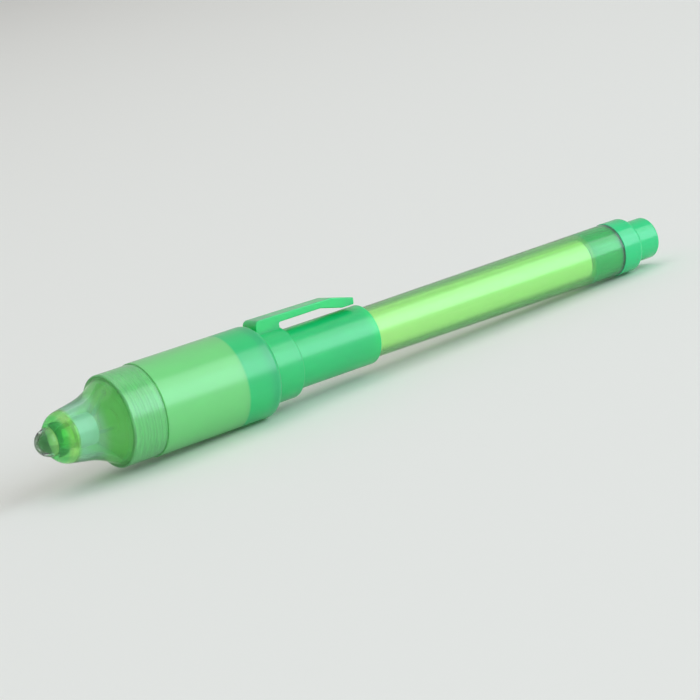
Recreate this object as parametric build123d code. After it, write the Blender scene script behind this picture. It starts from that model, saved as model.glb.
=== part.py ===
from build123d import *
import os

# A fibre-tip pen with invisible ink, whose cap carries a small ultraviolet lamp.
# Sizes are in millimetres. The pen's axis is X: the lamp looks along -X, the tail points to +X,
# and the pocket clip stands on +Z. The origin is on the axis, at the seam between the screwed
# nose and the lamp head.

os.makedirs("parts", exist_ok=True)

# Gaps that the fits share
seat_gap = 0.05           # between flat faces of pieces that come apart
slip_gap = 0.03           # beside thin sheet metal that slides or lies on plastic
screw_gap = 0.12          # radial, between the nose's thread and the head's spigot
seam_gap = 0.10           # between the nose's rear face and the head's shoulder
cut_overrun = 1.0         # how far a cut runs past the face that it opens

# Button cells, one behind another
cell_dia = 11.6
cell_height = 5.4
cell_count = 3
cell_cap_dia = 10.2       # the raised negative face
cell_step = 0.35          # height of that raised face
cell_round = 0.25
cell_play = 0.15          # radial, in the holder

# Spring behind the cells
spring_dia = 8.0          # over the middle of the wire
spring_wire = 0.45
spring_turns = 4
spring_length = 4.0       # as it is held, squeezed

# White moulded holder round the cells
holder_wall = 0.65
holder_floor = 1.1
holder_fit = 0.20         # radial, in the lamp head
groove_floor = 0.35       # plastic left between the cells and the switch's groove
groove_width = 2.6

# Sheet metal of the switch: strip, leaf and finger
strip_thickness = 0.20
strip_width = 2.0
plate_step = 0.30         # the round plate's rim inside the cells'
finger_thickness = 0.15
switch_gap = 0.45         # open contact, leaf to finger
leaf_past_button = 1.0    # how far the leaf's tip runs past the button's middle
finger_past_button = 1.2  # how far the finger's end runs past the button's middle
strip_seat_length = 5.3   # where the strip lies on its raised seat

# Push button on the side of the lamp head
button_place = 5.2        # from the seam to the button's middle
button_dia = 4.0
button_play = 0.10        # radial, in its hole
button_flange_dia = 5.0
button_flange = 0.25
button_flange_play = 0.15
button_foot_dia = 0.8
button_foot = 0.14
button_stand_out = 0.65   # above the head's surface
button_dome = 0.45        # round on the button's rim

# Lamp head of the cap
head_wall = 1.6
head_cavity = 5.6         # empty room behind the holder
head_rear_wall = 1.45
head_ledge = 0.8          # step that the holder seats on
head_rear_round_share = 0.7  # of the step down to the collar
head_front_round = 0.15
spigot_wall = 0.7
spigot_length = 5.0
key_clearance = 0.07      # over the leaf, in the key's channel
key_width = 3.0

# Collar and sleeve of the cap
collar_step = 1.12        # collar's surface over the sleeve's
collar_length = 6.0
collar_round = 0.45
sleeve_length = 18.0
sleeve_wall = 0.58
sleeve_fit = 0.22         # radial, round the barrel at the sleeve's mouth
sleeve_round = 0.30
partition = 2.45          # wall between the lamp's cavity and the nib's

# Pocket clip
clip_width = 4.3
clip_stand_off = 0.5      # between the head's rear face and the front of its root
clip_foot = 0.3           # bridge across that gap, above the collar
clip_lean = 0.35          # how far the front of its root leans back
clip_rise = 0.40          # its top above the lamp head's surface
clip_arm = 16.65          # top of the arm, from the root to the bend
clip_fall = 0.22          # how much lower the arm's top is at the bend
clip_room = 1.83          # under the arm, above the sleeve
clip_under = 8.85         # underside of the arm, from the collar's rear to the bend
clip_slot_in = 0.4        # how far the slot under the arm reaches over the collar
clip_tip_short = 1.8      # its tip stops this far before the sleeve's mouth
clip_tip_slant = 0.12
clip_tip_height = 1.22
clip_pad_gap = 0.68       # under the tip's pad, above the sleeve
clip_pad_length = 2.6
clip_root_round = 1.0
clip_bend_round = 1.5
clip_slot_round = 0.42
clip_tip_round = 0.24
clip_edge_round = 0.20

# Screwed nose
nose_length = 18.1
nose_face_dia = 6.0       # flat ring round the lamp
nose_tip_length = 2.5     # rounded end
nose_tip_dia = 9.2
nose_neck_length = 3.4    # gently tapered neck behind the rounded end
nose_neck_dia = 10.4
nose_band_step = 0.18     # band's surface below the head's
nose_band_length = 6.5
nose_foot_step = 0.10     # steep face in front of the band
nose_foot_drop = 0.62
nose_corner_round = 0.25
nose_front_wall = 3.05
nose_cavity_front_dia = 7.8
nose_cavity_rear_dia = 8.6
nose_cavity_length = 3.6
nose_shoulder = 0.87      # width of the shoulder that clamps the contact washer
led_fit = 0.10            # radial, LED in the nose

# LED and its legs
led_dia = 5.0
led_body = 3.4            # straight side, from the flange to the dome
led_flange_dia = 5.7
led_flange = 1.0
led_flat = 0.35           # depth of the flat on the flange
lead_width = 0.5
lead_pitch = 2.54
lead_bend = 0.5
post_height = 1.9         # lead frame above the flange's front
anvil_width = 1.25
flag_reach = 0.17         # how far the other leg's flag reaches towards the anvil
flag_height = 0.5
cup_dia = 0.9
cup_floor_dia = 0.5
cup_depth = 0.4
die_width = 0.3
die_height = 0.15
spacer_length = 3.8
lead_straight = 0.35      # leg's straight end behind the spacer
lead_lift = 0.75          # where the bent leg comes down on the washer, before its face
lead_foot = 0.6           # leg's end that lies on the washer

# Contact disc, rivet and washer between the lamp and the cells
disc_flange = 0.70
disc_plug = 0.60
disc_overlap = 0.30       # disc's flange over the spigot's bore
rivet_head_dia = 4.0
rivet_head = 0.25
rivet_shank_dia = 1.8
washer_thickness = 0.20
washer_hole_dia = 8.4

# Barrel
barrel_front_dia = 9.32
barrel_rear_dia = 10.26
barrel_length = 70.0
barrel_front_wall = 0.66
barrel_rear_wall = 0.90
barrel_edge_round = 0.12

# Front section and nib
section_plug = 9.3
section_flange_step = 0.16  # its surface below the barrel's front end
section_flange = 2.0
section_land_step = 0.70  # below the barrel's bore
section_land = 3.0
section_cone = 4.0
section_tip_dia = 3.0
section_bore_step = 0.6   # stem's bore opens by this for air
nib_dia = 2.0
nib_out = 2.1
nib_round = 0.85
nib_gap = 2.0             # from the nib's tip to the bottom of the sleeve's bore
nib_grip = 6.0            # length that the section's cone grips
nib_in_reservoir = 3.6

# Inner cap that seals the nib
seal_floor = 0.8
seal_fit = 0.12
seal_stop_gap = 0.20
seal_tip_play = 0.45

# Ink reservoir
reservoir_play = 0.20
reservoir_gap = 0.40      # behind the front section
reservoir_rear_gap = 0.80
film_thickness = 0.10

# Tail plug
plug_skirt = 6.9
plug_wall = 0.90
plug_collar = 4.7
plug_collar_step = 0.12   # its surface above the barrel's end
plug_round = 0.90
stub_step = 1.21          # stub's surface below the collar's
stub_length = 5.4
stub_round = 0.60
stub_end_wall = 1.4

# Radii, from the cells outwards
holder_bore_r = cell_dia / 2 + cell_play
holder_r = holder_bore_r + holder_wall
head_bore_r = holder_r + holder_fit
head_r = head_bore_r + head_wall
ledge_r = head_bore_r - head_ledge
spigot_r = head_bore_r + spigot_wall
band_bore_r = spigot_r + screw_gap
band_r = head_r - nose_band_step
disc_r = head_bore_r + disc_overlap

# Places along the axis, from the seam forwards
spigot_x = -spigot_length
disc_back_x = spigot_x - seat_gap
disc_front_x = disc_back_x - disc_flange
washer_front_x = disc_front_x - washer_thickness
shoulder_x = washer_front_x - seat_gap
nose_x = -nose_length
led_step_x = nose_x + nose_front_wall
led_flange_x = led_step_x + seat_gap
led_base_x = led_flange_x + led_flange
spacer_back_x = led_base_x + spacer_length

# Places along the axis, from the disc back to the tail
cells_x = disc_back_x + disc_plug + rivet_head + seat_gap
spring_x = cells_x + cell_count * cell_height
plate_x = spring_x + spring_length
holder_floor_x = plate_x + strip_thickness
ledge_x = holder_floor_x + holder_floor
cavity_end_x = ledge_x + head_cavity
head_rear_x = cavity_end_x + head_rear_wall
collar_rear_x = head_rear_x + collar_length
mouth_x = collar_rear_x + sleeve_length
bore_floor_x = cavity_end_x + partition
nib_tip_x = bore_floor_x + nib_gap
section_tip_x = nib_tip_x + nib_out
land_x = section_tip_x + section_cone
section_flange_x = land_x + section_land
barrel_x = section_flange_x + section_flange
section_rear_x = barrel_x + section_plug
reservoir_x = section_rear_x + reservoir_gap
barrel_rear_x = barrel_x + barrel_length
plug_front_x = barrel_rear_x - plug_skirt
reservoir_rear_x = plug_front_x - reservoir_rear_gap
plug_rear_x = barrel_rear_x + plug_collar
tail_x = plug_rear_x + stub_length

# Barrel's taper and what follows it
barrel_taper = (barrel_rear_dia - barrel_front_dia) / 2 / barrel_length
mouth_barrel_r = barrel_front_dia / 2 + (mouth_x - barrel_x) * barrel_taper
sleeve_bore_r = mouth_barrel_r + sleeve_fit
sleeve_r = sleeve_bore_r + sleeve_wall
collar_r = sleeve_r + collar_step
head_rear_round = (head_r - collar_r) * head_rear_round_share
bore_r = barrel_front_dia / 2 - barrel_front_wall
bore_rear_r = barrel_rear_dia / 2 - barrel_rear_wall
bore_taper = (bore_rear_r - bore_r) / barrel_length
section_rear_r = bore_r + section_plug * bore_taper
plug_front_r = bore_rear_r - plug_skirt * bore_taper
film_r = min(bore_r, bore_rear_r) - reservoir_play
flange_r = barrel_front_dia / 2 - section_flange_step
land_r = bore_r - section_land_step
rim_r = barrel_rear_dia / 2 + plug_collar_step
stub_r = rim_r - stub_step

# Heights above the axis at the switch, on the +Y side
groove_y = holder_bore_r + groove_floor
finger_y = groove_y + slip_gap
finger_top_y = finger_y + finger_thickness
leaf_y = finger_top_y + switch_gap
leaf_top_y = leaf_y + strip_thickness
key_r = leaf_top_y + key_clearance
foot_y = leaf_top_y + slip_gap
flange_y = foot_y + button_foot
flange_top_y = flange_y + button_flange
pocket_y = flange_top_y + seat_gap
button_top_y = head_r + button_stand_out
strip_seat_x = ledge_x - strip_seat_length


def section_face(corners, rounds=()):
    """Flat face in the XZ plane with the given (x, z) corners, some of them rounded.

    rounds holds (x, z, radius) for each corner that is rounded.
    """
    face = make_face(Polyline(*[(x, 0, z) for x, z in corners], close=True))
    for x, z, radius in rounds:
        corner = face.vertices().sort_by_distance((x, 0, z))[0]
        face = fillet(corner, radius)
    return face


def turned(corners, rounds=()):
    """Solid turned about the pen's axis from the (x, radius) corners of its section."""
    return revolve(section_face(corners, rounds), Axis.X)


def middle(width):
    """Span of this width about zero."""
    return -width / 2, width / 2


def block(*spans):
    """Block between two places in X, in Y and in Z."""
    sizes = [high - low for low, high in spans]
    return Pos(*[low for low, high in spans]) * Box(*sizes, align=(Align.MIN, Align.MIN, Align.MIN))


def side_disc(radius, y_span):
    """Disc about the button's axis, between two heights above the pen's axis."""
    plane = Plane(origin=(button_place, y_span[0], 0), z_dir=(0, 1, 0))
    return plane * Cylinder(radius, y_span[1] - y_span[0], align=(Align.CENTER, Align.CENTER, Align.MIN))


def pocket_clip():
    """Clip's side outline, thickened to its width: root on the collar, arm, bend, pad."""
    root_z = (sleeve_bore_r + sleeve_r) / 2
    foot_z = collar_r + clip_foot
    front_x = head_rear_x + clip_stand_off
    top = (front_x + clip_lean, head_r + clip_rise)
    bend = (top[0] + clip_arm, top[1] - clip_fall)
    pad_z = sleeve_r + clip_pad_gap
    tip = (mouth_x - clip_tip_short, pad_z + clip_tip_height)
    tip_foot = (tip[0] - clip_tip_slant, pad_z)
    pad_start = (tip_foot[0] - clip_pad_length, pad_z)
    under_z = sleeve_r + clip_room
    slot_x = collar_rear_x - clip_slot_in
    under = (collar_rear_x + clip_under, under_z)
    corners = [
        (head_rear_x - head_rear_wall / 2, root_z),
        (head_rear_x - head_rear_wall / 2, foot_z),
        (front_x, foot_z),
        top,
        bend,
        tip,
        tip_foot,
        pad_start,
        under,
        (slot_x, under_z),
        (slot_x, root_z),
    ]
    rounds = [
        (*top, clip_root_round),
        (*bend, clip_bend_round),
        (*under, clip_bend_round),
        (*pad_start, clip_bend_round),
        (slot_x, under_z, clip_slot_round),
        (*tip, clip_tip_round),
        (*tip_foot, clip_tip_round),
    ]
    clip = extrude(section_face(corners, rounds), amount=clip_width / 2, both=True)
    beside = clip.edges().filter_by(lambda edge: abs(edge.center().Y) > clip_width / 2 - slip_gap)
    behind_root = beside.filter_by(lambda edge: edge.center().X > top[0])
    return fillet(behind_root, clip_edge_round)


def cap_shell():
    """One moulding: threaded spigot, lamp head, collar, sleeve and clip."""
    shell = turned(
        [
            (spigot_x, head_bore_r),
            (spigot_x, spigot_r),
            (seam_gap, spigot_r),
            (seam_gap, head_r),
            (head_rear_x, head_r),
            (head_rear_x, collar_r),
            (collar_rear_x, collar_r),
            (collar_rear_x, sleeve_r),
            (mouth_x, sleeve_r),
            (mouth_x, sleeve_bore_r),
            (bore_floor_x, sleeve_bore_r),
            (bore_floor_x, 0),
            (cavity_end_x, 0),
            (cavity_end_x, ledge_r),
            (ledge_x, ledge_r),
            (ledge_x, head_bore_r),
        ],
        [
            (seam_gap, head_r, head_front_round),
            (head_rear_x, head_r, head_rear_round),
            (collar_rear_x, collar_r, collar_round),
            (mouth_x, sleeve_r, sleeve_round),
        ],
    )
    key = block((spigot_x - cut_overrun, ledge_x), (0, key_r), middle(key_width))
    pocket = side_disc(button_flange_dia / 2 + button_flange_play, (0, pocket_y))
    hole = side_disc(button_dia / 2 + button_play, (0, head_r + cut_overrun))
    return shell + pocket_clip() - key - pocket - hole


def nose_cone():
    """Turned nose: rounded tip, tapered neck, hollow flare, and the band that screws on."""
    hole = led_dia / 2 + led_fit
    face = (nose_x, 0, nose_face_dia / 2)
    tip = (nose_x + nose_tip_length, 0, nose_tip_dia / 2)
    neck = (nose_x + nose_tip_length + nose_neck_length, 0, nose_neck_dia / 2)
    corner = (-nose_band_length, 0, band_r)
    foot = (-nose_band_length - nose_foot_step, 0, band_r - nose_foot_drop)
    shoulder = (shoulder_x, 0, band_bore_r - nose_shoulder)
    cavity_rear = (led_step_x + nose_cavity_length, 0, nose_cavity_rear_dia / 2)
    cavity_front = (led_step_x, 0, nose_cavity_front_dia / 2)
    neck_slope = Vector(*neck) - Vector(*tip)
    cavity_slope = Vector(*cavity_rear) - Vector(*cavity_front)
    outside = [
        Line((nose_x, 0, hole), face),
        TangentArc(tip, face, tangent=-neck_slope),
        Line(tip, neck),
        TangentArc(neck, foot, tangent=neck_slope),
        Polyline(foot, corner, (0, 0, band_r)),
    ]
    inside = [
        Polyline((0, 0, band_r), (0, 0, band_bore_r), (shoulder_x, 0, band_bore_r), shoulder),
        TangentArc(cavity_rear, shoulder, tangent=cavity_slope),
        Polyline(cavity_rear, cavity_front, (led_step_x, 0, hole), (nose_x, 0, hole)),
    ]
    section = make_face([edge for line in outside + inside for edge in line.edges()])
    edge = section.vertices().sort_by_distance(corner)[0]
    return revolve(fillet(edge, nose_corner_round), Axis.X)


def reflector_cup():
    """Conical hollow in the anvil, open towards the dome."""
    rim_x = led_flange_x - post_height
    return turned([
        (rim_x, 0),
        (rim_x, cup_dia / 2),
        (rim_x + cup_depth, cup_floor_dia / 2),
        (rim_x + cup_depth, 0),
    ])


def led_anode_lead():
    """Straight leg on the -Z side, with a small flag inside the lens, that ends on the rivet."""
    z = -lead_pitch / 2
    top_x = led_flange_x - post_height
    inner_z = z + lead_width / 2
    leg = block((top_x, disc_front_x - rivet_head), middle(lead_width), (z - lead_width / 2, inner_z))
    flag = block((top_x, top_x + flag_height), middle(lead_width), (z, inner_z + flag_reach))
    return leg + flag


def led_cathode_lead():
    """Bent leg: reflector cup on its anvil, straight leg, then out to the washer."""
    z = lead_pitch / 2
    top_x = led_flange_x - post_height
    foot_x = washer_front_x - lead_width / 2
    foot_z = washer_hole_dia / 2
    leg_end_x = spacer_back_x + lead_straight
    outer_z = z + lead_width / 2
    leg = block((top_x, leg_end_x), middle(lead_width), (z - lead_width / 2, outer_z))
    anvil = block((top_x, top_x + anvil_width), middle(anvil_width), (-anvil_width / 2, outer_z))
    route = Polyline(
        (leg_end_x - lead_width / 2, 0, z),
        (leg_end_x, 0, z),
        (foot_x - lead_lift, 0, foot_z),
        (foot_x, 0, foot_z + lead_bend),
        (foot_x, 0, foot_z + lead_bend + lead_foot),
    )
    bend = extrude(trace(route, lead_width), amount=lead_width / 2, both=True)
    return leg + anvil + bend - reflector_cup()


def led_die():
    """Chip on the floor of the reflector cup."""
    floor_x = led_flange_x - post_height + cup_depth
    return block((floor_x - die_height, floor_x), middle(die_width), middle(die_width))


def led_lens():
    """Clear body: dome, straight side, and flange with its flat; the lead frame is cast in."""
    r = led_dia / 2
    dome_x = led_flange_x - led_body
    outline = [
        Line((dome_x - r, 0, 0), (led_base_x, 0, 0)),
        Polyline(
            (led_base_x, 0, 0),
            (led_base_x, 0, led_flange_dia / 2),
            (led_flange_x, 0, led_flange_dia / 2),
            (led_flange_x, 0, r),
            (dome_x, 0, r),
        ),
        TangentArc((dome_x, 0, r), (dome_x - r, 0, 0), tangent=(-r, 0, 0)),
    ]
    lens = revolve(make_face([edge for line in outline for edge in line.edges()]), Axis.X)
    flat_z = led_flange_dia / 2 - led_flat
    flat = block((led_flange_x, led_base_x + cut_overrun), middle(led_flange_dia), (flat_z, led_flange_dia))
    return lens - flat - led_anode_lead() - led_cathode_lead() - reflector_cup()


def led_spacer():
    """White stand-off behind the LED, with a square hole for each leg."""
    spacer = turned([
        (led_base_x, 0),
        (led_base_x, led_flange_dia / 2),
        (spacer_back_x, led_flange_dia / 2),
        (spacer_back_x, 0),
    ], [(spacer_back_x, led_flange_dia / 2, head_front_round)])
    hole_width = lead_width + 2 * slip_gap
    hole_x = (led_base_x - cut_overrun, spacer_back_x + cut_overrun)
    hole = block(hole_x, middle(hole_width), middle(hole_width))
    for side in (-1, 1):
        spacer -= Pos(0, 0, side * lead_pitch / 2) * hole
    return spacer


def contact_disc():
    """Insulating disc: its flange lies on the spigot, its plug closes the holder."""
    plug_r = holder_bore_r - cell_play
    disc = turned([
        (disc_front_x, rivet_shank_dia / 2),
        (disc_front_x, disc_r),
        (disc_back_x, disc_r),
        (disc_back_x, plug_r),
        (disc_back_x + disc_plug, plug_r),
        (disc_back_x + disc_plug, rivet_shank_dia / 2),
    ])
    notch_x = (disc_front_x - cut_overrun, disc_back_x + cut_overrun)
    notch = block(notch_x, (groove_y, disc_r + cut_overrun), middle(strip_width + 2 * slip_gap))
    return disc - notch


def centre_contact():
    """Rivet through the disc: the straight leg meets its front head, the front cell its rear."""
    flat_r = rivet_head_dia / 2
    shank_r = rivet_shank_dia / 2
    front_x = disc_front_x - rivet_head
    back_x = disc_back_x + disc_plug
    return turned([
        (front_x, 0),
        (front_x, flat_r),
        (disc_front_x, flat_r),
        (disc_front_x, shank_r),
        (back_x, shank_r),
        (back_x, flat_r),
        (back_x + rivet_head, flat_r),
        (back_x + rivet_head, 0),
    ])


def contact_washer():
    """Stamped ring in front of the disc, with a finger bent back under the switch leaf."""
    ring = turned([
        (washer_front_x, washer_hole_dia / 2),
        (washer_front_x, disc_r),
        (disc_front_x, disc_r),
        (disc_front_x, washer_hole_dia / 2),
    ])
    finger_x = (washer_front_x, button_place + finger_past_button)
    finger = block(finger_x, (finger_y, finger_top_y), middle(strip_width))
    return ring + finger


def battery_holder():
    """Cup round the cells, grooved for the finger, with a raised seat for the strip."""
    cup = turned([
        (spigot_x, holder_bore_r),
        (spigot_x, holder_r),
        (ledge_x, holder_r),
        (ledge_x, 0),
        (holder_floor_x, 0),
        (holder_floor_x, holder_bore_r),
    ])
    groove_x = (spigot_x - cut_overrun, strip_seat_x)
    groove = block(groove_x, (groove_y, holder_r + cut_overrun), middle(groove_width))
    seat = block((strip_seat_x, ledge_x), (groove_y, leaf_y), middle(groove_width))
    slot = block((plate_x, holder_floor_x), (0, leaf_top_y), middle(strip_width + 2 * slip_gap))
    return cup - groove + seat - slot


def button_cell(front_x):
    """Cell with its flat positive face to the lamp and its raised negative face to the tail."""
    rear_x = front_x + cell_height
    return turned([
        (front_x, 0),
        (front_x, cell_dia / 2),
        (rear_x - cell_step, cell_dia / 2),
        (rear_x - cell_step, cell_cap_dia / 2),
        (rear_x, cell_cap_dia / 2),
        (rear_x, 0),
    ], [(front_x, cell_dia / 2, cell_round)])


def battery_spring():
    """Open coil between the rear cell and the strip's plate."""
    height = spring_length - spring_wire - 2 * seat_gap
    start = (spring_x + seat_gap + spring_wire / 2, 0, 0)
    coil = Helix(height / spring_turns, height, spring_dia / 2, center=start, direction=(1, 0, 0))
    return sweep(Plane(coil @ 0, z_dir=coil % 0) * Circle(spring_wire / 2), path=coil, is_frenet=True)


def contact_strip():
    """Plate under the spring, leg up through the holder, and the end on the raised seat."""
    plate_r = cell_dia / 2 - plate_step
    plate = turned([
        (plate_x, 0),
        (plate_x, plate_r),
        (holder_floor_x, plate_r),
        (holder_floor_x, 0),
    ])
    leg = block((plate_x, holder_floor_x), (0, leaf_top_y), middle(strip_width))
    top = block((strip_seat_x, holder_floor_x), (leaf_y, leaf_top_y), middle(strip_width))
    return plate + leg + top


def switch_leaf():
    """Blade that runs forward from the strip, over the finger and under the button."""
    leaf_x = (button_place - leaf_past_button, strip_seat_x - slip_gap)
    return block(leaf_x, (leaf_y, leaf_top_y), middle(strip_width))


def push_button():
    """Button with a low dome, a flange that keeps it in, and a small foot on the leaf."""
    stem = side_disc(button_dia / 2, (flange_y, button_top_y))
    rim = stem.edges().filter_by(GeomType.CIRCLE).sort_by(Axis.Y)[-1]
    stem = fillet(rim, button_dome)
    flange = side_disc(button_flange_dia / 2, (flange_y, flange_top_y))
    foot = side_disc(button_foot_dia / 2, (foot_y, flange_y))
    return stem + flange + foot


def nib_seal():
    """Inner cap: a soft cup whose mouth fits the section's land and whose inside follows its cone."""
    mouth_r = land_r + seal_fit
    tip_r = section_tip_dia / 2 + seal_tip_play
    return turned([
        (bore_floor_x, 0),
        (bore_floor_x, sleeve_bore_r),
        (section_flange_x - seal_stop_gap, sleeve_bore_r),
        (section_flange_x - seal_stop_gap, mouth_r),
        (land_x - seal_stop_gap, mouth_r),
        (section_tip_x - seal_stop_gap, tip_r),
        (bore_floor_x + seal_floor, tip_r),
        (bore_floor_x + seal_floor, 0),
    ])


def barrel_tube():
    """Slightly tapered tube, wider at the tail, with a bore that widens less."""
    return turned([
        (barrel_x, bore_r),
        (barrel_x, barrel_front_dia / 2),
        (barrel_rear_x, barrel_rear_dia / 2),
        (barrel_rear_x, bore_rear_r),
    ], [
        (barrel_x, barrel_front_dia / 2, barrel_edge_round),
        (barrel_rear_x, barrel_rear_dia / 2, barrel_edge_round),
    ])


def nib_section():
    """Front section: plug in the barrel, flange, sealing land and the cone that grips the nib."""
    stem_r = nib_dia / 2
    air_r = stem_r + section_bore_step
    air_x = section_tip_x + nib_grip
    return turned([
        (section_tip_x, stem_r),
        (section_tip_x, section_tip_dia / 2),
        (land_x, land_r),
        (section_flange_x, land_r),
        (section_flange_x, flange_r),
        (barrel_x, flange_r),
        (barrel_x, bore_r),
        (section_rear_x, section_rear_r),
        (section_rear_x, air_r),
        (air_x, air_r),
        (air_x, stem_r),
    ], [(section_flange_x, flange_r, head_front_round)])


def fibre_nib():
    """Bullet nib, with the stem that draws ink from the reservoir."""
    stem_end_x = reservoir_x + nib_in_reservoir
    return turned([
        (nib_tip_x, 0),
        (nib_tip_x, nib_dia / 2),
        (stem_end_x, nib_dia / 2),
        (stem_end_x, 0),
    ], [(nib_tip_x, nib_dia / 2, nib_round)])


def ink_reservoir():
    """Fibre rod, with the hole that the nib's stem has pressed in it."""
    core_r = film_r - film_thickness
    stem_end_x = reservoir_x + nib_in_reservoir
    return turned([
        (reservoir_x, nib_dia / 2),
        (reservoir_x, core_r),
        (reservoir_rear_x, core_r),
        (reservoir_rear_x, 0),
        (stem_end_x, 0),
        (stem_end_x, nib_dia / 2),
    ])


def reservoir_film():
    """Thin film wrapped round the fibre rod."""
    return turned([
        (reservoir_x, film_r - film_thickness),
        (reservoir_x, film_r),
        (reservoir_rear_x, film_r),
        (reservoir_rear_x, film_r - film_thickness),
    ])


def tail_plug():
    """Hollow plug: skirt pressed in the barrel, rounded collar and the stub behind it."""
    hollow_r = min(plug_front_r, stub_r) - plug_wall
    return turned([
        (plug_front_x, hollow_r),
        (plug_front_x, plug_front_r),
        (barrel_rear_x, bore_rear_r),
        (barrel_rear_x, rim_r),
        (plug_rear_x, rim_r),
        (plug_rear_x, stub_r),
        (tail_x, stub_r),
        (tail_x, 0),
        (tail_x - stub_end_wall, 0),
        (tail_x - stub_end_wall, hollow_r),
    ], [
        (barrel_rear_x, rim_r, barrel_edge_round),
        (plug_rear_x, rim_r, plug_round),
        (tail_x, stub_r, stub_round),
    ])


cell_names = ["button_cell_front", "button_cell_middle", "button_cell_rear"]
pieces = {
    "cap_shell": cap_shell(),
    "nib_seal": nib_seal(),
    "battery_holder": battery_holder(),
    "battery_spring": battery_spring(),
    "contact_strip": contact_strip(),
    "switch_leaf": switch_leaf(),
    "push_button": push_button(),
    "nose_cone": nose_cone(),
    "led_lens": led_lens(),
    "led_anode_lead": led_anode_lead(),
    "led_cathode_lead": led_cathode_lead(),
    "led_die": led_die(),
    "led_spacer": led_spacer(),
    "contact_disc": contact_disc(),
    "centre_contact": centre_contact(),
    "contact_washer": contact_washer(),
    "barrel_tube": barrel_tube(),
    "nib_section": nib_section(),
    "fibre_nib": fibre_nib(),
    "ink_reservoir": ink_reservoir(),
    "reservoir_film": reservoir_film(),
    "tail_plug": tail_plug(),
}
for number in range(cell_count):
    pieces[cell_names[number]] = button_cell(cells_x + number * cell_height)

for node, shape in pieces.items():
    export_step(shape, f"parts/{node}.step")
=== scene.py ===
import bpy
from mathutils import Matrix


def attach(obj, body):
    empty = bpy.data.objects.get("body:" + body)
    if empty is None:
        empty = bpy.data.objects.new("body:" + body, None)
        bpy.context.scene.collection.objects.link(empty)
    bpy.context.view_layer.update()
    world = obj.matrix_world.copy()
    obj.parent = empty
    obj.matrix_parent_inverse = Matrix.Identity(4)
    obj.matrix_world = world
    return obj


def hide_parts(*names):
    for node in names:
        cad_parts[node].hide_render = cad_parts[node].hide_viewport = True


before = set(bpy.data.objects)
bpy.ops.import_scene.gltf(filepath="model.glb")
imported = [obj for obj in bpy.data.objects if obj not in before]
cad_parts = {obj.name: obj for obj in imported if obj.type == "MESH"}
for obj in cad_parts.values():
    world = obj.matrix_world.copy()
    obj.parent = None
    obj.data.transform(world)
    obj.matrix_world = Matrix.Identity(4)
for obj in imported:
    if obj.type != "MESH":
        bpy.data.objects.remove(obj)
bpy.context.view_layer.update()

import math

import bmesh
import bpy
import numpy as np
from mathutils import Matrix, Vector

# Screw-on nose. One moulding of hazy green polystyrene: its rounded tip holds the lamp, its neck
# flares to the band, and a groove cut round the band's bore takes the thread of the lamp head.
mm = 0.001
nose_front_x = -18.1
nose_hole_r = 2.6
nose_tip_face_r = 3.0
nose_round_end = (-15.6, 4.6)
nose_neck_end = (-12.2, 5.2)
nose_flare_end = (-6.6, 7.6)
nose_hollow_front = (-15.05, 3.9)
nose_hollow_rear = (-11.45, 4.3)
band_front_x = -6.5
band_r = 8.22
band_corner_round = 0.25
band_bore_front_x = -6.0
band_bore_r = 7.62
band_shoulder_r = 6.75
thread_pitch = 1.2
groove_depth = 0.1
groove_width_share = 0.75
groove_front_x, groove_rear_x, groove_run_out = -5.5, -0.15, 0.4
neck_clears_x, painted_flange_highlight_x, tip_deepens_x = (-9.2, -11.2), (-14.7, -15.3), (-16.4, -17.2)


def tangent_arc(start, along, end, steps=26):
    """Circular arc in the (x, r) plane that leaves start in the direction along and reaches end.

    Its centre lies square to the direction, at |chord|^2 / (2 chord . normal) from the start, and
    its points are turned about that centre by equal shares of twice the angle from tangent to chord.
    """
    start, along, end = (np.array(value, float) for value in (start, along, end))
    along = along / np.linalg.norm(along)
    normal = np.array([-along[1], along[0]])
    chord = end - start
    radius = chord @ chord / (2 * chord @ normal)
    centre = start + normal * radius
    turn = 2 * math.atan2(chord @ normal, chord @ along) * np.linspace(0, 1, steps)
    arm = start - centre
    across = arm[0] * np.cos(turn) - arm[1] * np.sin(turn)
    outwards = arm[0] * np.sin(turn) + arm[1] * np.cos(turn)
    return centre + np.stack([across, outwards], axis=1)


def rounded_corner(before, corner, after, radius, steps=7):
    """Arc of the given radius that touches both sides of a corner.

    The centre lies on the corner's bisector at radius / sin(half angle), and the points are the
    shares between both touching points, pushed out to the radius.
    """
    before, corner, after = (np.array(value, float) for value in (before, corner, after))
    to_before = (before - corner) / np.linalg.norm(before - corner)
    to_after = (after - corner) / np.linalg.norm(after - corner)
    half = math.acos(np.clip(to_before @ to_after, -1, 1)) / 2
    bisector = (to_before + to_after) / np.linalg.norm(to_before + to_after)
    centre = corner + bisector * radius / math.sin(half)
    start = corner + to_before * radius / math.tan(half) - centre
    end = corner + to_after * radius / math.tan(half) - centre
    share = np.linspace(0, 1, steps)[:, None]
    mixed = start * (1 - share) + end * share
    return centre + mixed / np.linalg.norm(mixed, axis=1)[:, None] * radius


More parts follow.
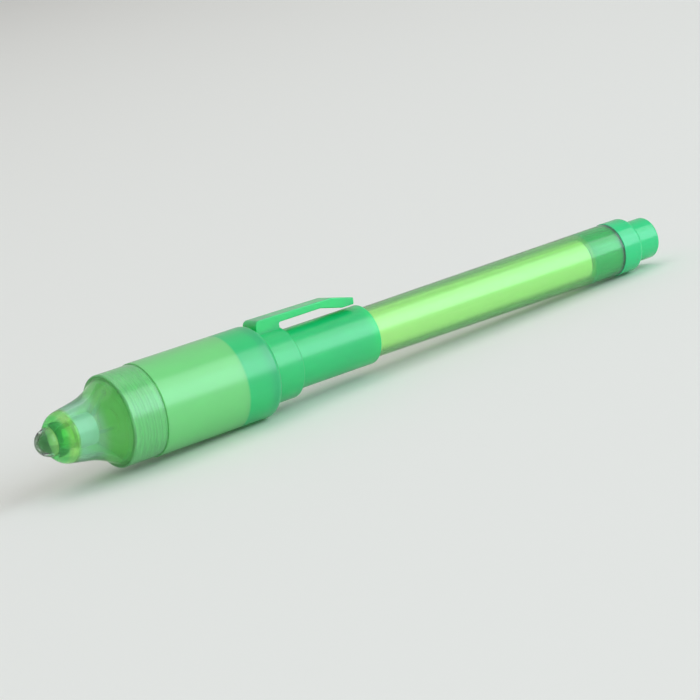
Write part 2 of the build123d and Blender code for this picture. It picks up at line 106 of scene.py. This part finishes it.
def turned_surface(section, closed, steps=160, relief=None):
    """Points and quads of a section turned about the X axis.

    A section point (x, r) goes to (x, r cos t, r sin t) for each step of t, and relief(x, r, t)
    gives the radius where it isn't simply r. A closed section is a ring; an open one starts and
    ends on the axis, where its last ring closes to a pole.
    """
    turn = np.linspace(0, 2 * math.pi, steps, endpoint=False)[None]
    x, r = section[:, :1], section[:, 1:]
    radius = relief(x, r, turn) if relief else r + 0 * turn
    points = np.stack([x + 0 * radius, radius * np.cos(turn), radius * np.sin(turn)], axis=-1)
    rows = len(section)
    row, column = np.meshgrid(np.arange(rows if closed else rows - 1), np.arange(steps), indexing="ij")
    below, beside = (row + 1) % rows, (column + 1) % steps
    corners = [row * steps + column, row * steps + beside, below * steps + beside, below * steps + column]
    return points.reshape(-1, 3), np.stack(corners, axis=-1).reshape(-1, 4).tolist()


def new_piece(name, points, faces, material, body, sharp_angle=38):
    """Closed mesh from points in millimetres, its doubles merged and its faces turned outwards.

    It is smooth but for edges sharper than the angle in degrees, and rides on a body by name.
    """
    mesh = bpy.data.meshes.new(name)
    mesh.from_pydata((np.asarray(points) * mm).tolist(), [], faces)
    shell = bmesh.new()
    shell.from_mesh(mesh)
    bmesh.ops.remove_doubles(shell, verts=shell.verts, dist=2e-7)
    bmesh.ops.dissolve_degenerate(shell, edges=shell.edges, dist=1e-8)
    bmesh.ops.recalc_face_normals(shell, faces=shell.faces)
    shell.to_mesh(mesh)
    shell.free()
    mesh.shade_smooth()
    mesh.set_sharp_from_angle(angle=math.radians(sharp_angle))
    mesh.materials.append(material)
    piece = bpy.data.objects.new(name, mesh)
    bpy.context.scene.collection.objects.link(piece)
    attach(piece, body)
    return piece


def linear(code):
    """Linear RGBA of an sRGB hex colour."""
    parts = [int(code[index : index + 2], 16) / 255 for index in (0, 2, 4)]
    return [part / 12.92 if part <= 0.04045 else ((part + 0.055) / 1.055) ** 2.4 for part in parts] + [1]


def add_node(tree, kind, inputs=None, **settings):
    """Adds one node, sets what is given and links the inputs that are sockets."""
    made = tree.nodes.new(kind)
    for key, value in settings.items():
        setattr(made, key, value)
    for key, value in (inputs or {}).items():
        if isinstance(value, bpy.types.NodeSocket):
            tree.links.new(value, made.inputs[key])
        else:
            made.inputs[key].default_value = value
    return made


def new_material(name, **sockets):
    """Material with its tree, its Principled node, set as given, and the object's coordinates."""
    material = bpy.data.materials.new(name)
    material.use_nodes = True
    tree = material.node_tree
    shader = tree.nodes["Principled BSDF"]
    for key, value in sockets.items():
        shader.inputs[key.replace("_", " ").title().replace("Ior", "IOR")].default_value = value
    return material, tree, shader, add_node(tree, "ShaderNodeTexCoord").outputs["Object"]


def clouded(tree, place, grain, detail, dark, light, run=(1, 1, 1)):
    """Noise with a grain in millimetres, and the colour between two hex colours that follows it.

    The noise is drawn out along each axis whose run is under 1, by one over that run.
    """
    drawn_out = add_node(tree, "ShaderNodeMapping", {"Vector": place, "Scale": run})
    noise = {"Vector": drawn_out.outputs[0], "Scale": 1 / (grain * mm), "Detail": detail}
    noise = add_node(tree, "ShaderNodeTexNoise", noise).outputs["Fac"]
    both = {"Factor": noise, "A": linear(dark), "B": linear(light)}
    return noise, add_node(tree, "ShaderNodeMix", both, data_type="RGBA").outputs["Result"]


def paler_beyond(tree, place, start, end, deep, pale):
    """Colour that goes smoothly from deep at start to pale at end, in millimetres along the pen."""
    axes = add_node(tree, "ShaderNodeSeparateXYZ", {"Vector": place})
    span = {"Value": axes.outputs["X"], "From Min": start * mm, "From Max": end * mm}
    share = add_node(tree, "ShaderNodeMapRange", span, interpolation_type="SMOOTHSTEP")
    both = {"Factor": share.outputs[0], "A": deep, "B": pale}
    return add_node(tree, "ShaderNodeMix", both, data_type="RGBA").outputs["Result"]


def mould_marks(tree, shader, place, ring_space=0.4, ripple_width=1.6):
    """Relief of a turned mould: fine rings round the pen and a slow ripple, in millimetres.

    Real turning marks are finer; these are as coarse as the picture can show.
    """
    round_pen = add_node(tree, "ShaderNodeMapping", {"Vector": place, "Scale": (1, 0.03, 0.03)})
    rings = {"Vector": round_pen.outputs[0], "Scale": 1 / (ring_space * mm)}
    rings = add_node(tree, "ShaderNodeTexNoise", rings).outputs["Fac"]
    rings = add_node(tree, "ShaderNodeBump", {"Height": rings, "Strength": 0.15, "Distance": 0.008 * mm})
    ripple = {"Vector": place, "Scale": 1 / (ripple_width * mm), "Detail": 1}
    ripple = add_node(tree, "ShaderNodeTexNoise", ripple).outputs["Fac"]
    ripple = {"Height": ripple, "Strength": 0.2, "Distance": 0.02 * mm, "Normal": rings.outputs[0]}
    tree.links.new(add_node(tree, "ShaderNodeBump", ripple).outputs[0], shader.inputs["Normal"])


# Injection-moulded polystyrene, clear with a green haze. The thick tip that grips the lamp looks
# deep green and the thin neck nearly clear. Round the lamp's flange, a yellow highlight of the
# flange seen through the tip is painted into the plastic's colour.
nose_plastic, tree, shader, place = new_material(
    "clear green polystyrene, nose", roughness=0.09, ior=1.4, transmission_weight=0.84
)
tint = clouded(tree, place, 2.5, 3, "98FF98", "ACFFAC", (0.15, 1, 1))[1]
tint = paler_beyond(tree, place, *neck_clears_x, tint, linear("C8FFE0"))
# Painted highlight: the lamp's flange, seen yellow through the ring of the tip round it.
tint = paler_beyond(tree, place, *painted_flange_highlight_x, tint, linear("B8FF90"))
tint = paler_beyond(tree, place, *tip_deepens_x, tint, linear("66F080"))
tree.links.new(tint, shader.inputs["Base Color"])
mould_marks(tree, shader, place)

# The band is the same moulding, milkier and less clear, and lies close round the spigot. Its
# colour is painted paler, for the white holder seen through it and for its highlight.
band_plastic, tree, shader, place = new_material(
    "hazy green polystyrene, band",
    roughness=0.25, ior=1.5, transmission_weight=0.68, coat_weight=0.6, coat_roughness=0.2,
)
tint = clouded(tree, place, 2.5, 3, "90FFA0", "A2FFB0", (0.15, 1, 1))[1]
tree.links.new(tint, shader.inputs["Base Color"])

neck_line = np.subtract(nose_neck_end, nose_round_end)
hollow_line = np.subtract(nose_hollow_rear, nose_hollow_front)
bore_x = np.linspace(0, band_bore_front_x, 121)
nose_section = np.vstack([
    [(nose_front_x, nose_hole_r)],
    tangent_arc(nose_round_end, -neck_line, (nose_front_x, nose_tip_face_r))[::-1],
    tangent_arc(nose_neck_end, neck_line, nose_flare_end, 40),
    rounded_corner(nose_flare_end, (band_front_x, band_r), (0, band_r), band_corner_round),
    [(0, band_r)],
    np.stack([bore_x, 0 * bore_x + band_bore_r], axis=1),
    tangent_arc(nose_hollow_rear, hollow_line, (band_bore_front_x, band_shoulder_r))[::-1],
    [nose_hollow_front, (nose_hollow_front[0], nose_hole_r)],
])


def thread_share(x, turn, width_share):
    """How much of the thread's height stands at a place: 1 on its crest, 0 between two turns.

    The crest follows x / pitch - t / turn, a right-handed helix, and falls off as a raised cosine
    within the given share of the pitch.
    """
    phase = (x / thread_pitch - turn / (2 * math.pi)) % 1 - 0.5
    return 0.5 + 0.5 * np.cos(math.pi * np.clip(np.abs(phase) / width_share * 2, 0, 1))


def groove_in_bore(x, r, turn):
    """Bore radius plus the thread's groove, which runs out at both ends of the bore."""
    in_bore = np.abs(r - band_bore_r) < 0.001
    from_front = np.clip((x - groove_front_x) / groove_run_out, 0, 1)
    from_rear = np.clip((groove_rear_x - x) / groove_run_out, 0, 1)
    return r + in_bore * from_front * from_rear * groove_depth * thread_share(x, turn, groove_width_share)


points, faces = turned_surface(nose_section, True, 180, groove_in_bore)
nose = new_piece("nose_shell", points, faces, nose_plastic, "nose")
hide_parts("nose_cone")
nose.data.materials.append(band_plastic)
centres = np.empty(3 * len(nose.data.polygons))
nose.data.polygons.foreach_get("center", centres)
in_band = centres[::3] > (band_front_x - 0.05) * mm
nose.data.polygons.foreach_set("material_index", in_band.astype(np.int32))

# Lamp. A 5 mm light-emitting diode of clear cast epoxy, polished by its mould, with a flat on its
# flange. The lead frame is cast in: the chip sits in the cup on the broad anvil.
led_tip_x, led_dome_x, led_flange_x, led_base_x = -20.9, -18.4, -15.0, -14.03
led_r, led_flange_r, led_flat_z = 2.5, 2.85, 2.5
clear_epoxy, tree, shader, place = new_material(
    "clear cast epoxy", base_color=linear("F4FFF8"), roughness=0.03, ior=1.45, transmission_weight=0.98
)
wave = add_node(tree, "ShaderNodeTexNoise", {"Vector": place, "Scale": 1 / (2.2 * mm), "Detail": 0})
wave = {"Height": wave.outputs["Fac"], "Strength": 0.15, "Distance": 0.02 * mm}
wave = add_node(tree, "ShaderNodeBump", wave)
tree.links.new(wave.outputs[0], shader.inputs["Normal"])

dome = np.linspace(0, math.pi / 2, 26)
dome_x = led_dome_x + (led_tip_x - led_dome_x) * np.cos(dome)
led_section = np.vstack([
    np.stack([dome_x, led_r * np.sin(dome)], axis=1),
    [(led_flange_x, led_r), (led_flange_x, led_flange_r), (led_base_x, led_flange_r), (led_base_x, 0)],
])


def flange_flat(x, r, turn):
    """Radius cut back to the flat where the flange would pass it: r sin t is at most the flat's z."""
    flat = led_flat_z / np.maximum(np.sin(turn), 0.1)
    return np.where(r > led_r, np.minimum(r, flat), r + 0 * turn)


points, faces = turned_surface(led_section, False, 96, flange_flat)
lens = new_piece("lamp_body", points, faces, clear_epoxy, "lamp")
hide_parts("led_lens")


def dress(material, *nodes):
    """Gives CAD nodes their material."""
    for node in nodes:
        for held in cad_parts[node].material_slots:
            held.material = material


# The diode's legs and frame: steel strip, stamped and tinned, so it is soft grey and half bright.
# The chip is a tiny block of pale yellow crystal, glued in the frame's cup.
tinned_steel, tree, shader, place = new_material("tinned steel", metallic=0.7, roughness=0.36)
tint = clouded(tree, place, 0.3, 2, "C9C8C2", "E4E3DE")[1]
tree.links.new(tint, shader.inputs["Base Color"])
dress(tinned_steel, "led_anode_lead", "led_cathode_lead")
chip, tree, shader, place = new_material("diode crystal", roughness=0.3)
tint = clouded(tree, place, 0.1, 2, "C8BE62", "E2DA8E")[1]
tree.links.new(tint, shader.inputs["Base Color"])
dress(chip, "led_die")

# Stand-off behind the diode and battery holder: white polypropylene, moulded with a fine
# spark-eroded skin, so it is matt. The skin's grain is drawn as coarse as it needs to show.
white_plastic, tree, shader, place = new_material("white moulded polypropylene", roughness=0.42, ior=1.49)
noise, tint = clouded(tree, place, 0.25, 2, "EFF2EC", "F8FAF5")
tree.links.new(tint, shader.inputs["Base Color"])
skin = add_node(tree, "ShaderNodeBump", {"Height": noise, "Strength": 0.2, "Distance": 0.02 * mm})
tree.links.new(skin.outputs[0], shader.inputs["Normal"])
dress(white_plastic, "led_spacer", "battery_holder")

# Closing disc of the battery holder: cream-coloured polypropylene, punched from sheet. It shows
# yellow-green through the nose's flare.
cream_plastic, tree, shader, place = new_material("cream polypropylene sheet", roughness=0.42, ior=1.49)
tint = clouded(tree, place, 0.25, 2, "F0E4A8", "F8EEB8")[1]
tree.links.new(tint, shader.inputs["Base Color"])
dress(cream_plastic, "contact_disc")

# Washer, rivet, strip and leaf: brass sheet, rolled and stamped. The rolling grain, drawn coarser
# than it is, runs up and down, and handling has dulled it unevenly.
brass, tree, shader, place = new_material("rolled brass sheet", metallic=0.4)
noise, tint = clouded(tree, place, 0.12, 3, "ECDC9C", "FAECB8", (1, 1, 0.08))
tree.links.new(tint, shader.inputs["Base Color"])
dulled = add_node(tree, "ShaderNodeMapRange", {"Value": noise, "To Min": 0.36, "To Max": 0.52})
tree.links.new(dulled.outputs[0], shader.inputs["Roughness"])
dress(brass, "contact_washer", "centre_contact", "contact_strip", "switch_leaf")

# Cap. One moulding of milky green polystyrene: threaded spigot, lamp head, collar, sleeve and
# clip. In front of the white holder's rear end, the holder's light seen through the wall is
# painted into the wall's colour as a paler green.
holder_rear_x = 17.35
cap_plastic, tree, shader, place = new_material(
    "hazy green polystyrene, cap",
    roughness=0.3, ior=1.5, transmission_weight=0.54, coat_weight=0.6, coat_roughness=0.2,
)
# The dye's colour is what is left of white light after about a millimetre of wall.
dye = add_node(tree, "ShaderNodeVolumeAbsorption", {"Color": linear("CBFCDA"), "Density": 1 / mm})
tree.links.new(dye.outputs[0], tree.nodes["Material Output"].inputs["Volume"])
tint = clouded(tree, place, 2.5, 3, "16F08E", "2AF89C", (0.15, 1, 1))[1]
# Painted paler over the holder: the white holder's light seen through the wall.
tint = paler_beyond(tree, place, holder_rear_x, holder_rear_x - 0.6, tint, linear("98FFA2"))
tree.links.new(tint, shader.inputs["Base Color"])
mould_marks(tree, shader, place)
dress(cap_plastic, "cap_shell")

# Thread on the cap's spigot: one right-handed ridge of the cap's own plastic, moulded with it,
# which runs three and a half turns in the nose's groove.
spigot_r, ridge_r, ridge_root_rise = 7.45, 7.68, 0.02
ridge_foot, ridge_crest = 0.36, 0.13
ridge_front_x, ridge_rear_x = -4.6, -0.4
ridge_run_out_share = 0.05
ridge_steps = 360


def thread_ridge():
    """Points and quads of a ridge that winds round the spigot, closed at both ends.

    At share s of its length the ridge is at x = front + s * length, turned by 2 pi (x / pitch - 1/2),
    and its four edges are its two feet and the two sides of its crest. The crest's height grows
    from the root and dies away again within the run-out's share.
    """
    share = np.linspace(0, 1, ridge_steps + 1)[:, None]
    height = np.clip(share / ridge_run_out_share, 0, 1) * np.clip((1 - share) / ridge_run_out_share, 0, 1)
    edge_x = np.array([-ridge_foot, -ridge_crest, ridge_crest, ridge_foot])[None]
    on_crest = np.array([0, 1, 1, 0])[None]
    middle_x = ridge_front_x + share * (ridge_rear_x - ridge_front_x)
    angle = 2 * math.pi * (middle_x / thread_pitch - 0.5)
    radius = spigot_r + on_crest * (ridge_root_rise + height * (ridge_r - spigot_r - ridge_root_rise))
    x = middle_x + edge_x + 0 * radius
    points = np.stack([x, radius * np.cos(angle), radius * np.sin(angle)], axis=-1)
    row, column = np.meshgrid(np.arange(ridge_steps), np.arange(4), indexing="ij")
    beside = (column + 1) % 4
    sides = [row * 4 + column, row * 4 + beside, row * 4 + 4 + beside, row * 4 + 4 + column]
    ends = [[0, 1, 2, 3], [ridge_steps * 4 + corner for corner in (3, 2, 1, 0)]]
    return points.reshape(-1, 3), np.stack(sides, axis=-1).reshape(-1, 4).tolist() + ends


points, faces = thread_ridge()
new_piece("spigot_thread", points, faces, cap_plastic, "cap", 30)

# Inner seal, nib section and rear plug: the same green polystyrene, moulded thick and glossier,
# in a polished mould. In front of the barrel's rear end, where the barrel lies over the plug's
# skirt, the light the skirt takes there is painted into its colour as a paler green; the seal and
# nib section, further forward, get the paler green too.
barrel_rear_x = 108.5
plug_plastic, tree, shader, place = new_material(
    "hazy green polystyrene, plugs", roughness=0.22, ior=1.45, transmission_weight=0.3, coat_weight=0.5
)
tint = clouded(tree, place, 2.5, 3, "1CE088", "30EA98", (0.15, 1, 1))[1]
# Painted light: paler green in front of the barrel's rear end, over the plug's skirt.
tint = paler_beyond(tree, place, barrel_rear_x + 0.2, barrel_rear_x - 0.1, tint, linear("5CF4B4"))
tree.links.new(tint, shader.inputs["Base Color"])
dress(plug_plastic, "nib_seal", "nib_section", "tail_plug")

# Button cells: drawn steel cans with bright nickel plate. A dark nylon ring seals the raised
# negative face in the can's crimped mouth.
cell_face_r, cell_ring_r = 5.1, 5.4
cell_nickel, tree, shader, place = new_material("nickel-plated steel", metallic=1.0, roughness=0.22)
axes = add_node(tree, "ShaderNodeSeparateXYZ", {"Vector": place})
across = add_node(tree, "ShaderNodeCombineXYZ", {"Y": axes.outputs["Y"], "Z": axes.outputs["Z"]})
reach = add_node(tree, "ShaderNodeVectorMath", {0: across.outputs[0]}, operation="LENGTH").outputs["Value"]
outside = add_node(tree, "ShaderNodeMath", {0: reach, 1: cell_face_r * mm}, operation="GREATER_THAN")
inside = add_node(tree, "ShaderNodeMath", {0: reach, 1: cell_ring_r * mm}, operation="LESS_THAN")
facing = {"Vector": tree.nodes["Texture Coordinate"].outputs["Normal"]}
facing = add_node(tree, "ShaderNodeSeparateXYZ", facing)
to_rear = add_node(tree, "ShaderNodeMath", {0: facing.outputs["X"], 1: 0.5}, operation="GREATER_THAN")
ring = add_node(tree, "ShaderNodeMath", {0: outside.outputs[0], 1: inside.outputs[0]}, operation="MULTIPLY")
ring = add_node(tree, "ShaderNodeMath", {0: ring.outputs[0], 1: to_rear.outputs[0]}, operation="MULTIPLY")
tint = clouded(tree, place, 0.5, 3, "C8C8C4", "DCDCD8")[1]
sealed = {"Factor": ring.outputs[0], "A": tint, "B": linear("2A2A28")}
sealed = add_node(tree, "ShaderNodeMix", sealed, data_type="RGBA")
tree.links.new(sealed.outputs["Result"], shader.inputs["Base Color"])
bare = add_node(tree, "ShaderNodeMath", {0: 1.0, 1: ring.outputs[0]}, operation="SUBTRACT")
tree.links.new(bare.outputs[0], shader.inputs["Metallic"])
dress(cell_nickel, "button_cell_front", "button_cell_middle", "button_cell_rear")

# Spring behind the cells: drawn spring-steel wire, wound cold. The die leaves it a grey that
# shifts a little along the wire.
spring_steel, tree, shader, place = new_material("drawn spring steel", metallic=1.0, roughness=0.26)
tint = clouded(tree, place, 0.2, 2, "B4B4B2", "D2D2D0")[1]
tree.links.new(tint, shader.inputs["Base Color"])
dress(spring_steel, "battery_spring")

# Push button: a denser green moulding, nearly opaque, with a matt eroded skin for the finger,
# drawn coarser than it is. It sits in the head's side and rests on the switch leaf.
button_plastic, tree, shader, place = new_material("green moulded polystyrene", roughness=0.35, ior=1.57)
noise, tint = clouded(tree, place, 0.18, 2, "18A452", "20B45E")
tree.links.new(tint, shader.inputs["Base Color"])
skin = add_node(tree, "ShaderNodeBump", {"Height": noise, "Strength": 0.3, "Distance": 0.02 * mm})
tree.links.new(skin.outputs[0], shader.inputs["Normal"])
dress(button_plastic, "push_button")

# Barrel: a thin tapered tube of the green polystyrene, moulded on a polished core. In front of the
# bright reservoir's rear end, the reservoir's light seen through the wall is painted into the
# wall's colour as a paler green.
reservoir_rear_x = 100.8
barrel_plastic, tree, shader, place = new_material(
    "hazy green polystyrene, barrel",
    roughness=0.15, ior=1.45, transmission_weight=0.92, coat_weight=0.5, coat_roughness=0.25,
)
dye = add_node(tree, "ShaderNodeVolumeAbsorption", {"Color": linear("AAFCBC"), "Density": 1 / mm})
tree.links.new(dye.outputs[0], tree.nodes["Material Output"].inputs["Volume"])
tint = clouded(tree, place, 1.8, 3, "A4FFD8", "B4FFE4", (0.1, 1, 1))[1]
# Painted paler along the reservoir: its light seen through the wall.
tint = paler_beyond(tree, place, reservoir_rear_x + 0.3, reservoir_rear_x - 0.3, tint, linear("F4FFDC"))
tree.links.new(tint, shader.inputs["Base Color"])
dress(barrel_plastic, "barrel_tube")

# Ink reservoir: a rod of bonded polyester fibres that lie along it, soaked with clear ink. A faint
# pale yellow-green glow is painted in as emission, though the rod is no lamp.
reservoir_fibre, tree, shader, place = new_material(
    "bonded polyester fibre", roughness=0.6, emission_color=linear("ECFFBC"), emission_strength=0.5
)
noise, tint = clouded(tree, place, 0.25, 4, "EEFFC4", "FFFFEC", (0.03, 1, 1))
tree.links.new(tint, shader.inputs["Base Color"])
strands = add_node(tree, "ShaderNodeBump", {"Height": noise, "Strength": 0.5, "Distance": 0.08 * mm})
tree.links.new(strands.outputs[0], shader.inputs["Normal"])
dress(reservoir_fibre, "ink_reservoir")

# Nib: the same kind of fibre, bonded harder, ground to a bullet and pushed into the nib section.
# Its strands show as short streaks.
nib_fibre, tree, shader, place = new_material("ground polyester nib", roughness=0.7)
noise, tint = clouded(tree, place, 0.12, 3, "DCDCD2", "F2F2EA", (0.1, 1, 1))
tree.links.new(tint, shader.inputs["Base Color"])
strands = add_node(tree, "ShaderNodeBump", {"Height": noise, "Strength": 0.4, "Distance": 0.04 * mm})
tree.links.new(strands.outputs[0], shader.inputs["Normal"])
dress(nib_fibre, "fibre_nib")

# Film round the reservoir: thin clear polypropylene, wrapped once round and heat-sealed along one
# overlap. It lies close but not tight, so long shallow creases catch the light.
film_r, film_thickness = 3.725, 0.035
film_front_x, film_rear_x = 48.2, 100.8
film_overlap, film_seam_turn = 0.45, -1.9
film_rise_turn, film_flat_turn = 0.5, 0.6
film_rise_share, film_crease = 1.4, 0.14
clear_film, tree, shader, place = new_material(
    "clear polypropylene film", roughness=0.08, ior=1.3, transmission_weight=0.98
)
tint = clouded(tree, place, 0.9, 2, "F0FFE4", "FFFFFF", (0.04, 1, 1))[1]
tree.links.new(tint, shader.inputs["Base Color"])


def wrapped_film(along_steps=36, round_steps=260):
    """Points and quads of the film, a strip wound a little over once round the rod.

    At (x, t) the inner face is at r + lift(t) + crease(x, t): lift rises by a little over one
    thickness before the overlap, and the creases are waves round the rod, flat near the seam,
    whose phase drifts slowly along it. The outer face lies one thickness further out.
    """
    whole = 2 * math.pi
    x = np.linspace(film_front_x, film_rear_x, along_steps)[:, None]
    turn = np.linspace(0, whole + film_overlap, round_steps)[None]
    lift = film_rise_share * film_thickness * np.clip((turn - whole + film_rise_turn) / film_rise_turn, 0, 1)
    from_seam, to_seam = turn / film_flat_turn, (whole - film_flat_turn - turn) / film_flat_turn
    ends = np.clip(from_seam, 0, 1) * np.clip(to_seam, 0, 1)
    waves = 0.5 + 0.3 * np.sin(7 * turn + 0.05 * x) + 0.2 * np.sin(17 * turn - 0.11 * x + 1)
    inner = film_r + lift + film_crease * ends * waves
    seam_turn = turn + film_seam_turn
    faces_of_film = [
        np.stack([x + 0 * turn, radius * np.cos(seam_turn), radius * np.sin(seam_turn)], axis=-1)
        for radius in (inner, inner + film_thickness)
    ]
    strip = np.concatenate([faces_of_film[0], faces_of_film[1][:, ::-1]], axis=1)
    columns = 2 * round_steps
    row, column = np.meshgrid(np.arange(along_steps - 1), np.arange(columns), indexing="ij")
    this, following = row * columns, (row + 1) * columns
    beside = (column + 1) % columns
    sides = np.stack([this + column, this + beside, following + beside, following + column], axis=-1)
    near = np.arange(round_steps - 1)
    far = columns - 1 - near
    end = np.stack([near, near + 1, far - 1, far], axis=-1)
    quads = [sides.reshape(-1, 4), end, end + (along_steps - 1) * columns]
    return strip.reshape(-1, 3), np.vstack(quads).tolist()


points, faces = wrapped_film()
film = new_piece("film_wrap", points, faces, clear_film, "pen", 50)
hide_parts("reservoir_film")

# Floor and backdrop: one plain pale table, painted matt. It is tilted so that the pen rests on its
# head and its tail collar.
head_rear, tail_rear, floor_gap = (23.2, 8.40), (112.3, 5.37), 0.03
bpy.ops.mesh.primitive_plane_add(size=8)
floor = bpy.context.object
floor.name = "table_top"
floor.rotation_euler = (0, -math.atan((head_rear[1] - tail_rear[1]) / (tail_rear[0] - head_rear[0])), 0)
floor.location = (head_rear[0] * mm, 0, -(head_rear[1] + floor_gap) * mm)
table_paint = new_material("matt pale table paint", base_color=linear("EEEDE8"), roughness=0.7)[0]
floor.data.materials.append(table_paint)

# Studio light: an even pale room, a broad soft box on the right in front of the pen with a
# smaller cool one within it, and one above.
world = bpy.data.worlds.new("studio")
bpy.context.scene.world = world
world.use_nodes = True
world.node_tree.nodes["Background"].inputs["Color"].default_value = linear("FFFFFF")
world.node_tree.nodes["Background"].inputs["Strength"].default_value = 0.5


def soft_box(name, place, size, radiance, colour, target=(0.04, 0, 0)):
    """Rectangular lamp at a place, turned to a target, in metres; its power is radiance * pi * area."""
    lamp = bpy.data.lights.new(name, "AREA")
    lamp.shape = "RECTANGLE"
    lamp.size, lamp.size_y = size
    lamp.color = linear(colour)[:3]
    lamp.energy = radiance * math.pi * size[0] * size[1]
    held = bpy.data.objects.new(name, lamp)
    bpy.context.scene.collection.objects.link(held)
    held.location = place
    held.rotation_euler = (Vector(target) - Vector(place)).to_track_quat("-Z", "Y").to_euler()


soft_box("front soft box", (1.26, -1.81, 1.03), (2.7, 2.6), 2.0, "EEF9FF")
soft_box("inner front soft box", (1.22, -1.75, 0.7), (1.7, 1.3), 1.2, "B4E4FF")
soft_box("top soft box", (0.0, 0.5, 3.0), (3.0, 2.4), 0.9, "FFFFFF")

# Camera at the photograph's place. Its lens, its place and the directions to its right, up and
# forward were fitted to the pen's outline in the photograph.
camera = bpy.data.cameras.new("camera")
camera.lens = 138.86
camera.sensor_width = 36
camera.clip_start = 0.01
viewer = bpy.data.objects.new("camera", camera)
bpy.context.scene.collection.objects.link(viewer)
right, up, forward = (0.78624, -0.57902, -0.2158), (0.2723, 0.01115, 0.96215), (0.5547, 0.81524, -0.16643)
turned = Matrix([[right[axis], up[axis], -forward[axis]] for axis in range(3)]).to_4x4()
viewer.matrix_world = Matrix.Translation((-0.224301, -0.395593, 0.078826)) @ turned
bpy.context.scene.camera = viewer
bpy.context.scene.view_settings.view_transform = "Standard"
